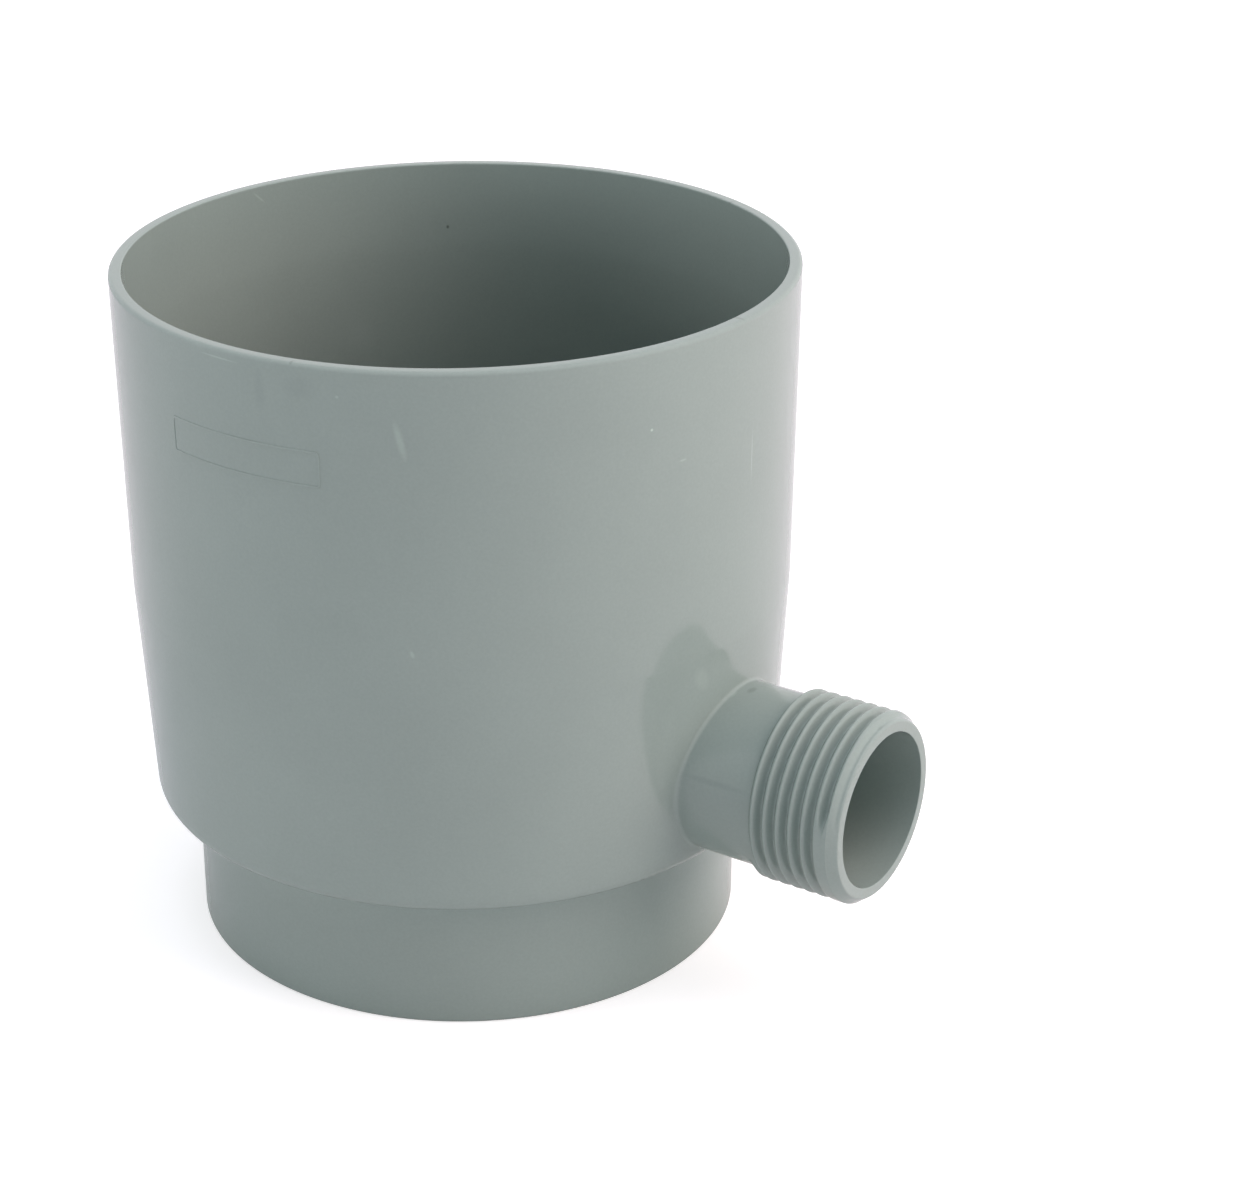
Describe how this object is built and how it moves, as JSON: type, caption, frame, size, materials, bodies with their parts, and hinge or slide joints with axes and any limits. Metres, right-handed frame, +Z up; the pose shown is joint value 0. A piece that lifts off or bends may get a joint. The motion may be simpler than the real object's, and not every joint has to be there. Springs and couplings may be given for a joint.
{
  "type": "rainwater diverter",
  "caption": "Grey plastic rainwater diverter: open cup socket, stepped-down spigot and a threaded side outlet.",
  "frame": {"origin": "on the cup's axis, at the lower end of the spigot", "axes": "+Z up along the cup's axis towards the socket, +X along the outlet towards its mouth"},
  "size_m": [0.1426, 0.116, 0.1205],
  "materials": {
    "grey_plastic": "moulded, satin to gloss"
  },
  "bodies": {
    "root": {"diverter_body": "grey_plastic"}
  },
  "joints": []
}
